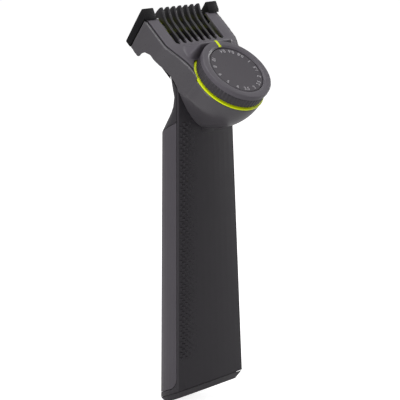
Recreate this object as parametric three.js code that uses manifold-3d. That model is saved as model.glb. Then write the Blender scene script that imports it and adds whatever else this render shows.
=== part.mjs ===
// Body groomer: a battery handle with a slim neck, an oscillating blade head, and a hair-length
// comb whose front dial slides the comb guard out over the blades.
// Units are millimetres. The origin is the centre of the slanted bottom face; +Z runs along the
// handle, -Y is the front, where the dial is, and X is the width.
import * as THREE from "three";
import { mergeVertices } from "three/addons/utils/BufferGeometryUtils.js";
import Module from "manifold-3d";

const wasm = await Module();
wasm.setup();

// ---- driving dimensions ------------------------------------------------------------------
const GAP = 0.3; // between pieces that touch or run past each other
const FIT = 0.15; // half of the seam between two housing pieces
const CLOSE = 0.1; // round a small inlay
const DEGREE = Math.PI / 180;

// handle
const HANDLE_LENGTH = 141.4; // bottom face to the crease where the neck begins, on the axis
const BASE_SLANT = Math.tan(26.2 * DEGREE); // bottom, seams and crease all lean by this
const HALF_WIDTH_BASE = 22.9;
const HALF_WIDTH_NECK = 18.4; // at the crease
const FRONT_Y_BASE = -12.4; // the front corners, at the bottom
const FRONT_Y_NECK = -9.2; // the same corners, at the crease
const BACK_Y = 12.6;
const FRONT_CROWN = 1.2; // the front face bulges this far past its corners
const BACK_SQUARENESS = 2.5; // exponent of the superelliptic back
const WALL = 1.8;
const CHAMFER = { width: 2.6, height: 3.4 };
const SEAM_BEHIND_CORNER = 1.7;
const BACK_PANEL_FOOT = 6.2; // its bottom seam above the bottom face
const BACK_PANEL_CORNER = 4;

// neck, above the crease: how deep it is behind the front corners at each height
const NECK_LENGTH = 24.6;
const NECK_DEPTHS = [
  [0.09, 19], [0.18, 16], [0.27, 12.8], [0.37, 10.4], [0.54, 8.8], [0.73, 10.4], [1, 12.3],
];
const NECK_TOP_HALF_WIDTH = 16.7; // inside the comb's side walls

// what is inside the handle
const BATTERY = { radius: 7.1, length: 49, bottom: 21 };
const MOTOR = { width: 20, depth: 15, length: 31, bottom: 96, y: 1 };
const BOARD = { width: 13, length: 78, thickness: 1, bottom: 46 };
const TAB_THICKNESS = 0.4;
const SHAFT_RADIUS = 1;
const THROW = 0.8; // of the eccentric, and of the cutter each way
const CRANK_PIN_RADIUS = 0.75;
const BUTTON = { radius: 5.2, z: 116, proud: 0.5, travel: 0.8 };
const LIGHT_RADIUS = 1.1;
const SCREW = { headRadius: 2, shankRadius: 1, length: 7, head: 1.6 };
const PORT = { width: 8.9, height: 3.1, depth: 6.4, offset: 5 };

// comb and dial, in the dial's frame: x across, v from the dial to the comb tips, w out of the dial
const DIAL_Y = -30.4;
const DIAL_Z = 171.6;
const DIAL_TILT = 40 * DEGREE;
const DIAL_RADIUS = 18.5;
const WINDOW_RADIUS = 14.35; // opening of the bezel, where the number disc shows
const BEZEL_THICKNESS = 2.4;
const DISC_TOP = -0.6; // the number disc's face, below the bezel's
const WHEEL_HEIGHT = 5.1;
const RING_THICKNESS = 0.8;
const RING_PROUD = 0.4;
const SETTINGS = 14; // lengths marked on the dial, one blank place before the first
const SETTING_PITCH = (2 * Math.PI) / (SETTINGS + 1);
const GUARD_TRAVEL = 9.6;
// Half width of the guard plate at places along v: it widens from the dial to the blade head.
const PLAN = [[3, 17], [8, 17], [12.9, 17.5], [17.5, 19.2], [21.3, 21], [25.2, 22.6], [29, 23], [48, 23]];
const COMB_WALL = 1.5;
const PLATE_TOP = -7.1; // w of the guard's top plate
const PLATE_THICKNESS = 1.3;
const PLATE_END = 25.4; // v where the slots begin
const RIBS = 7;
const RIB_PITCH = 4.14;
const RIB_THICKNESS = 1.3;
const HOOD_BOTTOM = -24.7;
const WALL_TOP = -7.6; // w of the side walls' top edge
const WALL_FRONT = 43.2; // v where the side walls end and the guard's end caps begin
const RAIL_INSIDE = 16.8;
const CAM_RADIUS = 15.2;
const CAM_START = 3.5; // radius of the spiral groove at the shortest setting
const FOLLOWER_RADIUS = 0.9;
const SPINDLE_RADIUS = 1.3;
const KNURLS = 60;
const BLADE_HALF_WIDTH = 16.2;

const FINISHES = {
  shell: ["#3b383c", 0.5, 0], panel: ["#55515a", 0.42, 0], comb: ["#4a474c", 0.45, 0],
  plate: ["#69656b", 0.45, 0], black: ["#1f1e20", 0.5, 0], lime: ["#e6f000", 0.4, 0],
  disc: ["#4e4a50", 0.5, 0], steel: ["#b8babd", 0.3, 1], brass: ["#c8a04a", 0.35, 1],
  rubber: ["#202022", 0.8, 0], board: ["#1d5a34", 0.5, 0], cell: ["#2f6fa8", 0.4, 0],
  inner: ["#8a8a8a", 0.6, 0], clear: ["#dfe6e8", 0.15, 0],
};

// ---- solids ------------------------------------------------------------------------------
function toSolid(geometry) {
  const bare = (geometry.index ? geometry.toNonIndexed() : geometry.clone());
  for (const name of Object.keys(bare.attributes)) if (name !== "position") bare.deleteAttribute(name);
  const merged = mergeVertices(bare, 1e-4);
  const solid = new wasm.Manifold(new wasm.Mesh({
    numProp: 3,
    vertProperties: new Float32Array(merged.attributes.position.array),
    triVerts: new Uint32Array(merged.index.array),
  }));
  return solid;
}

function toGeometry(solid) {
  const mesh = solid.getMesh();
  const places = new Float32Array(mesh.numVert * 3);
  for (let i = 0; i < mesh.numVert; i++) {
    places.set(mesh.vertProperties.subarray(i * mesh.numProp, i * mesh.numProp + 3), i * 3);
  }
  const geometry = new THREE.BufferGeometry();
  geometry.setAttribute("position", new THREE.BufferAttribute(places, 3));
  geometry.setIndex(new THREE.BufferAttribute(new Uint32Array(mesh.triVerts), 1));
  return geometry;
}

const join = (first, ...rest) => rest.reduce((sum, next) => sum.add(next), first);
const cut = (first, ...rest) => rest.reduce((left, next) => left.subtract(next), first);
const moved = (solid, x, y, z) => solid.translate([x, y, z]);

function box(x0, x1, y0, y1, z0, z1) {
  const geometry = new THREE.BoxGeometry(x1 - x0, y1 - y0, z1 - z0);
  return toSolid(geometry.translate((x0 + x1) / 2, (y0 + y1) / 2, (z0 + z1) / 2));
}

// A cylinder or cone along +Z from z0 to z1.
function rod(radius, z0, z1, sides = 32, topRadius = radius) {
  const geometry = new THREE.CylinderGeometry(topRadius, radius, z1 - z0, sides);
  return toSolid(geometry.rotateX(Math.PI / 2).translate(0, 0, (z0 + z1) / 2));
}

function tube(outer, inner, z0, z1, sides = 64) {
  return cut(rod(outer, z0, z1, sides), rod(inner, z0 - 1, z1 + 1, sides));
}

// Extrudes an outline of [x, y] points along +Z.
function slab(points, z0, z1) {
  const shape = new THREE.Shape(points.map(([x, y]) => new THREE.Vector2(x, y)));
  const geometry = new THREE.ExtrudeGeometry(shape, { depth: z1 - z0, bevelEnabled: false });
  return toSolid(geometry.translate(0, 0, z0));
}

// Extrudes an outline of [y, z] (or [v, w]) points along X, from x0 to x1.
function sideSlab(points, x0, x1) {
  const shape = new THREE.Shape(points.map(([y, z]) => new THREE.Vector2(y, z)));
  const geometry = new THREE.ExtrudeGeometry(shape, { depth: x1 - x0, bevelEnabled: false });
  const turn = new THREE.Matrix4().set(0, 0, 1, x0, 1, 0, 0, 0, 0, 1, 0, 0, 0, 0, 0, 1);
  return toSolid(geometry.applyMatrix4(turn));
}

// Joins closed rings of equal point counts into one closed solid with flat or fanned ends.
function loft(rings) {
  const count = rings[0].length;
  const places = rings.flat(2);
  const faces = [];
  rings.slice(1).forEach((_, r) => {
    for (let i = 0; i < count; i++) {
      const a = r * count + i;
      const b = r * count + (i + 1) % count;
      faces.push(a, b, b + count, a, b + count, a + count);
    }
  });
  for (const [ring, start, turned] of [[rings[0], 0, true], [rings.at(-1), (rings.length - 1) * count, false]]) {
    const centre = places.length / 3;
    places.push(...[0, 1, 2].map((axis) => ring.reduce((sum, p) => sum + p[axis], 0) / count));
    for (let i = 0; i < count; i++) {
      const next = start + (i + 1) % count;
      faces.push(...(turned ? [next, start + i, centre] : [start + i, next, centre]));
    }
  }
  const geometry = new THREE.BufferGeometry();
  geometry.setAttribute("position", new THREE.Float32BufferAttribute(places, 3));
  geometry.setIndex(faces);
  return toSolid(geometry);
}

// ---- frames ------------------------------------------------------------------------------
// A point of the part's frame, as [v, w] of the dial's frame.
function toDial(y, z) {
  const c = Math.cos(DIAL_TILT);
  const s = Math.sin(DIAL_TILT);
  return [(y - DIAL_Y) * c + (z - DIAL_Z) * s, -(y - DIAL_Y) * s + (z - DIAL_Z) * c];
}

const dialToPart = (solid) => moved(solid.rotate([DIAL_TILT / DEGREE, 0, 0]), 0, DIAL_Y, DIAL_Z);
const partToDial = (solid) => moved(solid, 0, -DIAL_Y, -DIAL_Z).rotate([-DIAL_TILT / DEGREE, 0, 0]);

// ---- handle form -------------------------------------------------------------------------
const mix = (a, b, t) => a + (b - a) * t;
const share = (height) => height / HANDLE_LENGTH;
const halfWidthAt = (height) => mix(HALF_WIDTH_BASE, HALF_WIDTH_NECK, Math.min(share(height), 1.05));
const frontAt = (height) => mix(FRONT_Y_BASE, FRONT_Y_NECK, share(height));
const depthAt = (height) => BACK_Y - frontAt(height);
const neckHeight = (t) => HANDLE_LENGTH + t * NECK_LENGTH;

// One closed section at a height on the axis, leaning with the base; inset shrinks it all round.
function section(height, depth, inset) {
  const half = halfWidthAt(height) - inset;
  const front = frontAt(height) + inset;
  const power = 2 / BACK_SQUARENESS;
  const backSteps = 28;
  const frontSteps = 10;
  const points = [];
  for (let i = 0; i <= backSteps; i++) {
    const angle = (i / backSteps) * Math.PI;
    const across = Math.cos(angle);
    const x = half * Math.sign(across) * Math.abs(across) ** power;
    points.push([x, front + (depth - 2 * inset) * Math.sin(angle) ** power]);
  }
  for (let i = 1; i < frontSteps; i++) {
    const t = (i / frontSteps) * 2 - 1;
    points.push([half * t, front - FRONT_CROWN * (1 - t ** 2)]);
  }
  return points.map(([x, y]) => [x, y, height - BASE_SLANT * y]);
}

// The whole handle and neck, shrunk by inset; the full-size one has the chamfer at its foot.
function handleForm(inset = 0) {
  const foot = inset > 0 ? section(-1, depthAt(0), inset) : section(inset, depthAt(0), CHAMFER.width + inset);
  const rings = [foot];
  for (const height of [CHAMFER.height, 0.35 * HANDLE_LENGTH, 0.7 * HANDLE_LENGTH, HANDLE_LENGTH]) {
    rings.push(section(height, depthAt(height), inset));
  }
  for (const [t, depth] of NECK_DEPTHS) rings.push(section(neckHeight(t), depth, inset));
  rings.push(section(neckHeight(1.5), NECK_DEPTHS.at(-1)[1], inset));
  return loft(rings);
}

// The space between two slanted planes, at heights low and high on the axis.
function slantedLayer(low, high, reach = 45) {
  const plane = (height, y) => [y, height - BASE_SLANT * y];
  const outline = [plane(low, -reach), plane(low, reach), plane(high, reach), plane(high, -reach)];
  return sideSlab(outline, -reach, reach);
}

// Everything behind the seam line between two heights; ease moves its edges inwards.
function behindSeam(low, high, ease, corner) {
  const foot = low + ease;
  const head = high - ease;
  const seam = (height) => frontAt(height) + SEAM_BEHIND_CORNER + ease;
  const at = (height, y, lift = 0) => [y, height - BASE_SLANT * y + lift];
  const outline = [at(foot, 45), at(head, 45), at(head, seam(head))];
  const steps = corner ? 5 : 0;
  for (let i = 0; i <= steps; i++) {
    const angle = steps ? (i / steps) * 90 * DEGREE : 0;
    outline.push(at(foot, seam(foot) + corner * (1 - Math.cos(angle)), corner * (1 - Math.sin(angle))));
  }
  return sideSlab(outline, -45, 45);
}

// A band of constant width along a path of [v, w] points, as an outline.
function band(path, halfWidth) {
  const side = (sign) => path.map((point, i) => {
    const before = path[Math.max(i - 1, 0)];
    const after = path[Math.min(i + 1, path.length - 1)];
    const along = new THREE.Vector2(after[0] - before[0], after[1] - before[1]).normalize();
    return [point[0] - sign * along.y * halfWidth, point[1] + sign * along.x * halfWidth];
  });
  return [...side(-1), ...side(1).reverse()];
}

// A rod or box made along +Z, turned to run along +Y at a place across and up the handle.
const towardsBack = (solid, x, z) => moved(solid.rotate([-90, 0, 0]), x, 0, z);

// ---- shared places -----------------------------------------------------------------------
const WHEEL_TOP = -BEZEL_THICKNESS - GAP;
const WHEEL_BOTTOM = WHEEL_TOP - WHEEL_HEIGHT;
const RING_TOP = WHEEL_BOTTOM - GAP;
const CUP_TOP = RING_TOP - RING_THICKNESS - GAP;
const CAM_BOTTOM = RING_TOP - 4.5;
const GROOVE_TOP = CAM_BOTTOM + 2.5;
const SLIDER_TOP = CAM_BOTTOM - 2 * GAP;
const SLIDER_BOTTOM = SLIDER_TOP - 1.5;
const NECK_CEILING = SLIDER_BOTTOM - 2 * GAP;
const NECK_STEP = -22.2; // w below which the neck is full width
const PLATE_BOTTOM = PLATE_TOP - PLATE_THICKNESS;
const SLIDER_V = [21, 24]; // the crossbar that carries the guard
const DECK_TOP = PLATE_BOTTOM - GAP;
const PLATE_WIDEST = Math.max(...PLAN.map(([, half]) => half));
const SLIDER_HALF = 18; // half length of the slider's crossbar
const RIB_SPAN = ((RIBS - 1) * RIB_PITCH + RIB_THICKNESS) / 2;
const ARM_HALF_WIDTH = 3;
const ARM_HALF_THICKNESS = 1.4;
const DRIVE_PIN = { radius: 1.2, v: 38.2, top: -12.4 };
const CRANK_HEIGHT = 137.5; // of the fork on the crank pin
const BOWL_FOOT = 140.5; // height of the lowest point of the bowl's foot on the handle
const BASE_SCREW_X = 13;
const BASE_HEAD_TOP = 3.1; // inner face of the base screws' heads
const BASE_BOSS_TOP = 6;
const ARM_FOOT = toDial(-4.9, CRANK_HEIGHT - 1.5);
const ARM_BEND = toDial(-4.9, 160.5);
const HEAD_V = [18, 35.5];
const HEAD_W = [HOOD_BOTTOM + 0.5, NECK_CEILING - GAP];
const BLADE_FRONT = 43.7;
const CUTTER_W = [-12.9, -12.1];
const FIXED_W = [-11.8, -11.2];
const FRAME_W = [-10.9, -10.1];

// ---- handle solids -----------------------------------------------------------------------
const armPassage = sideSlab(
  band([ARM_FOOT, ARM_BEND, [21, -21.6], [42, -20]], ARM_HALF_THICKNESS + 1.2),
  -(ARM_HALF_WIDTH + THROW + GAP), ARM_HALF_WIDTH + THROW + GAP);
const crankBay = box(-7, 7, -7.5, 6, HANDLE_LENGTH - 12, HANDLE_LENGTH + 1.2);
const bay = handleForm(WALL).intersect(slantedLayer(CHAMFER.height - 1, HANDLE_LENGTH - 9));

// The region that the neck may fill: full width below the step, narrow above it.
function neckLimit(grow) {
  const half = NECK_TOP_HALF_WIDTH + grow;
  return dialToPart(join(
    box(-60, 60, -220, 220, -280, NECK_STEP + grow),
    box(-half, half, -220, 220, NECK_STEP - 1, NECK_CEILING + grow)));
}

const handleSolid = cut(handleForm().intersect(neckLimit(0)), bay, crankBay, dialToPart(armPassage));
const handleClear = partToDial(handleForm(-GAP - 0.05).intersect(neckLimit(GAP)));

// ---- assembly ----------------------------------------------------------------------------
const groomer = new THREE.Group();
const dialFrame = new THREE.Group();
dialFrame.position.set(0, DIAL_Y, DIAL_Z);
dialFrame.rotation.x = DIAL_TILT;
const baseFrame = new THREE.Group();
baseFrame.rotation.x = -Math.atan(BASE_SLANT);
groomer.add(dialFrame, baseFrame);

function place(name, finish, solid, group = groomer) {
  const [color, roughness, metalness] = FINISHES[finish];
  const material = new THREE.MeshStandardMaterial({ color, roughness, metalness });
  const mesh = new THREE.Mesh(toGeometry(solid), material);
  mesh.name = name;
  group.add(mesh);
}

// A slot with round ends, along +Z, for the charging port.
function portSlot(grow, z0, z1) {
  const half = PORT.height / 2 + grow;
  const run = PORT.width / 2 - PORT.height / 2;
  const ends = [-run, run].map((x) => moved(rod(half, z0, z1, 20), x, PORT.offset, 0));
  return join(box(-run, run, PORT.offset - half, PORT.offset + half, z0, z1), ...ends);
}

function addHousing() {
  const panel = (ease) => behindSeam(BACK_PANEL_FOOT, HANDLE_LENGTH, ease, BACK_PANEL_CORNER);
  const cover = (ease) => behindSeam(HANDLE_LENGTH, HANDLE_LENGTH + 80, ease, 0);
  const cap = (ease) => slantedLayer(-60, CHAMFER.height - ease);
  const buttonHole = towardsBack(rod(BUTTON.radius + GAP, 0, 20, 40), 0, BUTTON.z);
  const lightHole = towardsBack(rod(LIGHT_RADIUS + GAP, 0, 20, 16), 0, BUTTON.z + 12);
  place("front_shell", "shell", cut(handleSolid, panel(-FIT), cover(-FIT), cap(-FIT)));
  place("back_shell", "panel", cut(handleSolid.intersect(panel(FIT)), buttonHole, lightHole));
  place("neck_cover", "shell", handleSolid.intersect(cover(FIT)));
  const lip = cut(handleForm(WALL + GAP), handleForm(2 * WALL + GAP))
    .intersect(slantedLayer(CHAMFER.height - 1, CHAMFER.height + 2.4));
  const floor = handleForm().intersect(cap(FIT));
  const socket = portSlot(WALL / 2 + GAP, -2, PORT.depth).rotate([-Math.atan(BASE_SLANT) / DEGREE, 0, 0]);
  const bosses = [-BASE_SCREW_X, BASE_SCREW_X].map((x) => moved(rod(3.6, 2, BASE_BOSS_TOP, 24), x, 0, 0));
  const screwHoles = [-BASE_SCREW_X, BASE_SCREW_X].flatMap((x) => [
    moved(rod(SCREW.headRadius + GAP, -12, BASE_HEAD_TOP + CLOSE, 20), x, 0, 0),
    moved(rod(SCREW.shankRadius + CLOSE, 0, 12, 12), x, 0, 0),
  ]);
  place("bottom_cap", "shell", cut(join(floor, lip, ...bosses), socket, ...screwHoles));
}

function addPort() {
  const sleeve = cut(portSlot(WALL / 2, 0.4, PORT.depth), portSlot(0, -1, PORT.depth - 0.8));
  place("charge_port", "steel", sleeve, baseFrame);
  const half = PORT.width / 2 - PORT.height / 2;
  place("port_tongue", "black",
    box(-half, half, PORT.offset - 0.35, PORT.offset + 0.35, 1.4, PORT.depth - 0.8 - GAP), baseFrame);
}

function addPower() {
  const cell = BATTERY.bottom + BATTERY.length;
  place("battery_cell", "cell", moved(rod(BATTERY.radius, 0, BATTERY.length, 32), 0, -0.2, BATTERY.bottom));
  const tab = (z0) => box(-3, 3, -3, 3, z0, z0 + TAB_THICKNESS);
  place("battery_tab_lower", "steel", tab(BATTERY.bottom - GAP - TAB_THICKNESS));
  place("battery_tab_upper", "steel", tab(cell + GAP));
  const boardY = MOTOR.y + MOTOR.depth / 2 + GAP;
  const half = BOARD.width / 2;
  place("main_board", "board",
    box(-half, half, boardY, boardY + BOARD.thickness, BOARD.bottom, BOARD.bottom + BOARD.length));
  const switchY = boardY + BOARD.thickness + CLOSE;
  place("tact_switch", "black", box(-2.4, 2.4, switchY, switchY + 0.6, BUTTON.z - 2.4, BUTTON.z + 2.4));
  const capBottom = switchY + 0.6 + BUTTON.travel + CLOSE;
  place("power_button", "black",
    towardsBack(rod(BUTTON.radius, capBottom, BACK_Y + BUTTON.proud, 40, BUTTON.radius - 0.4), 0, BUTTON.z));
  place("status_light", "clear",
    towardsBack(rod(LIGHT_RADIUS, switchY, BACK_Y - 0.1, 16), 0, BUTTON.z + 12));
}

// A tray for the cell, the board and the motor, on two bosses that the base screws go into.
function addChassis() {
  const thickness = 1.6;
  const inside = handleForm(WALL + GAP);
  const top = MOTOR.bottom + MOTOR.length;
  const floor = BATTERY.bottom - 2 * GAP - TAB_THICKNESS - thickness;
  const levels = [floor, BATTERY.bottom + BATTERY.length + 2 * GAP + TAB_THICKNESS, MOTOR.bottom - GAP - thickness];
  const walls = levels.map((z) => inside.intersect(box(-30, 30, -20, 30, z, z + thickness)));
  const spine = box(-5, 5, -8.4, -7.6, floor, top);
  const bosses = [-BASE_SCREW_X, BASE_SCREW_X].map((x) =>
    moved(cut(rod(3.2, BASE_BOSS_TOP + GAP, floor + 1, 24), rod(SCREW.shankRadius + CLOSE, 0, 14, 12)), x, 0, 0));
  const boardY = MOTOR.y + MOTOR.depth / 2;
  const half = BOARD.width / 2 + GAP;
  const boardSlot = box(-half, half, boardY, 30, BOARD.bottom - GAP, 200);
  place("chassis", "inner", cut(join(spine, ...walls, ...bosses), boardSlot));
  for (const [name, x] of [["base_screw_left", -BASE_SCREW_X], ["base_screw_right", BASE_SCREW_X]]) {
    const head = rod(SCREW.headRadius, BASE_HEAD_TOP - SCREW.head, BASE_HEAD_TOP, 20);
    const recess = box(-1.3, 1.3, -0.3, 0.3, -5, BASE_HEAD_TOP - SCREW.head + 0.7);
    const shank = rod(SCREW.shankRadius, BASE_HEAD_TOP - 0.5, BASE_HEAD_TOP + SCREW.length, 12);
    place(name, "steel", moved(join(cut(head, recess), shank), x, 0, 0));
  }
}

function addDrive() {
  const { width, depth, length, bottom, y } = MOTOR;
  const can = rod(width / 2, bottom, bottom + length, 40)
    .intersect(box(-width, width, -depth / 2, depth / 2, bottom, bottom + length));
  const boss = rod(3, bottom + length - 1, bottom + length + 1.5, 24);
  const bore = rod(SHAFT_RADIUS + GAP, bottom + length - 6, bottom + length + 3, 16);
  place("motor", "steel", moved(cut(join(can, boss), bore), 0, y, 0));
  const top = bottom + length;
  const gasket = cut(tube(6, 3 + GAP, top + GAP, top + GAP + 1.6, 32));
  place("motor_gasket", "rubber", moved(gasket, 0, y, 0));
  const disc = rod(THROW + CRANK_PIN_RADIUS + 1, top + 6, top + 8.5, 24);
  const shaft = rod(SHAFT_RADIUS, top - 5.5, top + 7, 16);
  const pin = moved(rod(CRANK_PIN_RADIUS, top + 8, CRANK_HEIGHT + 2, 16), 0, THROW, 0);
  place("crank", "brass", moved(join(disc, shaft, pin), 0, y, 0));
  const slot = CRANK_PIN_RADIUS + THROW + CLOSE;
  const fork = cut(box(-ARM_HALF_WIDTH - 1, ARM_HALF_WIDTH + 1, -6.3, y + slot + 1.4, CRANK_HEIGHT - 1.5, CRANK_HEIGHT + 1.5),
    box(-slot, slot, y - slot, y + slot, CRANK_HEIGHT - 3, CRANK_HEIGHT + 3));
  const path = [ARM_FOOT, ARM_BEND, [21, -21.6], [DRIVE_PIN.v + DRIVE_PIN.radius, -20.1]];
  const arm = sideSlab(band(path, ARM_HALF_THICKNESS), -ARM_HALF_WIDTH, ARM_HALF_WIDTH);
  const drivePin = moved(rod(DRIVE_PIN.radius, -20.5, DRIVE_PIN.top, 16), 0, DRIVE_PIN.v, 0);
  place("drive_arm", "black", join(partToDial(fork), arm, drivePin), dialFrame);
}

// ---- blade head --------------------------------------------------------------------------
// A flat blade with teeth along its front edge.
function toothedPlate(half, v0, v1, w0, w1, toothDepth, pitch) {
  const gaps = [];
  const count = Math.floor((2 * half) / pitch) - 1;
  for (let i = 0; i <= count; i++) {
    const x = (i - count / 2) * pitch;
    gaps.push(box(x - pitch / 4, x + pitch / 4, v1 - toothDepth, v1 + 1, w0 - 1, w1 + 1));
  }
  return cut(box(-half, half, v0, v1, w0, w1), ...gaps);
}

function addBladeHead() {
  const half = BLADE_HALF_WIDTH;
  const block = sideSlab([[HEAD_V[0], HEAD_W[0]], [HEAD_V[1], HEAD_W[0]], [HEAD_V[1], HEAD_W[1]],
    [HEAD_V[0] - 2, HEAD_W[1]]], -half + 0.6, half - 0.6);
  place("head_housing", "shell", cut(block, handleClear, armPassage), dialFrame);
  const back = HEAD_V[1] + GAP;
  const bodyTop = CUTTER_W[0] - GAP;
  const body = join(
    box(-half, half, back, BLADE_FRONT, HEAD_W[0], bodyTop),
    ...[-1, 1].map((side) => box(...ordered(side * (half - 1.1), side * half), back, BLADE_FRONT,
      bodyTop - 1, FIXED_W[0] - GAP)));
  const pinReach = DRIVE_PIN.radius + THROW + GAP;
  const pinSlot = box(-pinReach, pinReach, DRIVE_PIN.v - 1.6, DRIVE_PIN.v + 1.6, -22, 0);
  const springV = BLADE_FRONT - 3.2;
  const springPocket = box(-11.3, 11.3, springV, springV + 1.8, bodyTop - 1.4, 0);
  place("blade_base", "lime", cut(body, armPassage, pinSlot, springPocket), dialFrame);
  place("cutter_spring", "steel", box(-11, 11, springV + GAP, springV + 1.8 - GAP, bodyTop - 1.1, bodyTop), dialFrame);
  const cutterHalf = half - 1.1 - THROW - GAP;
  const cutterHole = moved(rod(DRIVE_PIN.radius + CLOSE, -15, -10, 16), 0, DRIVE_PIN.v, 0);
  place("moving_cutter", "steel",
    cut(toothedPlate(cutterHalf, back + 0.6, BLADE_FRONT + 0.6, ...CUTTER_W, 2.4, 1.6), cutterHole), dialFrame);
  place("fixed_guard", "steel", toothedPlate(half - 0.2, back + 0.2, BLADE_FRONT + 1.4, ...FIXED_W, 2.8, 1.6), dialFrame);
  place("guard_frame", "lime", cut(box(-half, half, back, BLADE_FRONT + 1.4, ...FRAME_W),
    box(-half + 1.8, half - 1.8, back + 2, BLADE_FRONT - 1.2, -20, 0)), dialFrame);
}

const ordered = (a, b) => [Math.min(a, b), Math.max(a, b)];

// ---- comb --------------------------------------------------------------------------------
// The bowl under the dial: every point of its round rim runs down in a smooth curve to the
// U-shaped foot that lies on the front of the handle. inset thins it for the hollow.
function bowlRings(inset, from, steps) {
  const sides = 48;
  const rimRadius = DIAL_RADIUS + 0.2;
  const rings = [];
  for (let s = from; s <= steps; s++) {
    const t = s / steps;
    const h00 = 2 * t ** 3 - 3 * t ** 2 + 1;
    const h10 = t ** 3 - 2 * t ** 2 + t;
    const h01 = -2 * t ** 3 + 3 * t ** 2;
    const h11 = t ** 3 - t ** 2;
    const ring = [];
    for (let i = 0; i < sides; i++) {
      const angle = (i / sides) * 2 * Math.PI;
      const across = Math.sin(angle);
      const rise = Math.cos(angle);
      const start = [rimRadius * across, -rimRadius * rise, CUP_TOP];
      const low = Math.abs(across) ** 2.1;
      const footZ = rise > 0 ? mix(BOWL_FOOT, BOWL_FOOT + 19.5, low) : BOWL_FOOT + 19.5 - 9 * rise;
      const footPoint = [18.2 * across, ...toDial(FRONT_Y_NECK + COMB_WALL, footZ)];
      const leave = [0, 0, rise > 0 ? -42 : -20];
      const arrive = [0, 30 * Math.cos(DIAL_TILT), -30 * Math.sin(DIAL_TILT)];
      ring.push(start.map((value, axis) =>
        h00 * value + h10 * leave[axis] + h01 * footPoint[axis] + h11 * arrive[axis]));
    }
    rings.push(ring);
  }
  return inset ? rings.map((ring) => shrunk(ring, inset)) : rings;
}

// A ring pulled in towards its own middle by a fixed distance.
function shrunk(ring, inset) {
  const middle = [0, 1, 2].map((axis) => ring.reduce((sum, p) => sum + p[axis], 0) / ring.length);
  return ring.map((p) => {
    const out = new THREE.Vector3(...p).sub(new THREE.Vector3(...middle));
    const length = out.length();
    return out.multiplyScalar((length - inset) / length).add(new THREE.Vector3(...middle)).toArray();
  });
}

// The guard plate's outline in plan, made wider by grow, between two places along v.
function planOutline(grow, from, to) {
  const curve = new THREE.SplineCurve(PLAN.map(([v, half]) => new THREE.Vector2(v, half)));
  const edge = curve.getPoints(28).filter((p) => p.x > from && p.x < to).map((p) => [p.y + grow, p.x]);
  const side = [[edge[0][0], from], ...edge, [edge.at(-1)[0], to]];
  return [...side, ...side.map(([x, v]) => [-x, v]).reverse()];
}

function addCombBase() {
  const outwards = (ring) => [...ring].reverse();
  const bowl = loft(bowlRings(0, 0, 12).map(outwards));
  const hollow = loft(bowlRings(COMB_WALL, 5, 12).map(outwards));
  const profile = [[3, WALL_TOP], [WALL_FRONT, WALL_TOP], [WALL_FRONT - 1, HOOD_BOTTOM], [35.5, HOOD_BOTTOM],
    [35.3, -22.4], [33.5, -19.6], [30, -17.9], [24, -18], [20, -18.3], [16.5, -19], [8.5, -22.3], [3, -19]];
  const walls = cut(slab(planOutline(GAP + COMB_WALL, 3, WALL_FRONT), HOOD_BOTTOM, WALL_TOP),
    slab(planOutline(GAP, 2, WALL_FRONT + 1), HOOD_BOTTOM - 1, WALL_TOP + 1)).intersect(sideSlab(profile, -40, 40));
  const deck = join(
    slab(planOutline(GAP + COMB_WALL / 2, 8, SLIDER_V[0] - 2 * GAP), DECK_TOP - 1.4, DECK_TOP),
    box(-13.8, 13.8, 15, 26, DECK_TOP - 1.4, DECK_TOP));
  const ringSpace = rod(DIAL_RADIUS + RING_PROUD + GAP, CUP_TOP, 0, 96);
  const camPocket = rod(CAM_RADIUS + 2 * GAP, CAM_BOTTOM - GAP, 0, 64);
  const channel = box(-3.6 - GAP, 3.6 + GAP, -2.5, 30, SLIDER_BOTTOM - GAP, CAM_BOTTOM);
  const springSlot = sector(tube(CAM_RADIUS + 1.7, CAM_RADIUS, CAM_BOTTOM - GAP, CUP_TOP - 1), 26);
  const spindleHole = rod(SPINDLE_RADIUS + CLOSE, SLIDER_BOTTOM - 3, 0, 16);
  const solid = cut(join(bowl, walls, deck), hollow, ringSpace, camPocket, channel, springSlot, spindleHole,
    handleClear);
  place("comb_base", "comb", solid, dialFrame);
}

// The part of a solid within an angle either side of the -v direction.
function sector(solid, halfAngle) {
  const reach = 40;
  const across = reach * Math.tan(halfAngle * DEGREE);
  return solid.intersect(slab([[0, 0], [-across, -reach], [across, -reach]], -60, 60));
}

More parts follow.
